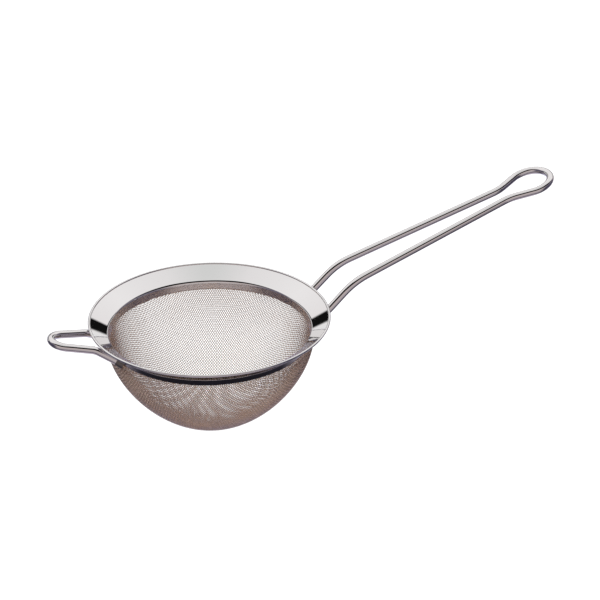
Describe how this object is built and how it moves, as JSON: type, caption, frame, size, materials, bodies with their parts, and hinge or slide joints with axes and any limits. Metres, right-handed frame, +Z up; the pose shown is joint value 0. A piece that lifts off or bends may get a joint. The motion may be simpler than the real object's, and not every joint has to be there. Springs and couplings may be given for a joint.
{
  "type": "tea strainer",
  "caption": "Round-bottomed woven mesh bowl in a wide polished funnel rim, with a bent-wire loop handle and a wire rest opposite it.",
  "frame": {"origin": "centre of the rim's mouth, level with the top of the lip", "axes": "+Z up out of the mouth, +X from the rim's centre along the handle"},
  "size_m": [0.2123, 0.094, 0.0858],
  "materials": {
    "polished_sheet": "mirror-polished stainless sheet",
    "woven_wire": "plain-weave stainless wire cloth, as woven",
    "polished_wire": "polished stainless wire",
    "weld_metal": "polished weld fillet"
  },
  "bodies": {
    "root": {"rim": "polished_sheet", "mesh_bowl": "woven_wire", "clamp_band": "polished_sheet", "handle_wire": "polished_wire", "rest_wire": "polished_wire", "handle_welds": "weld_metal", "rest_welds": "weld_metal"}
  },
  "joints": []
}
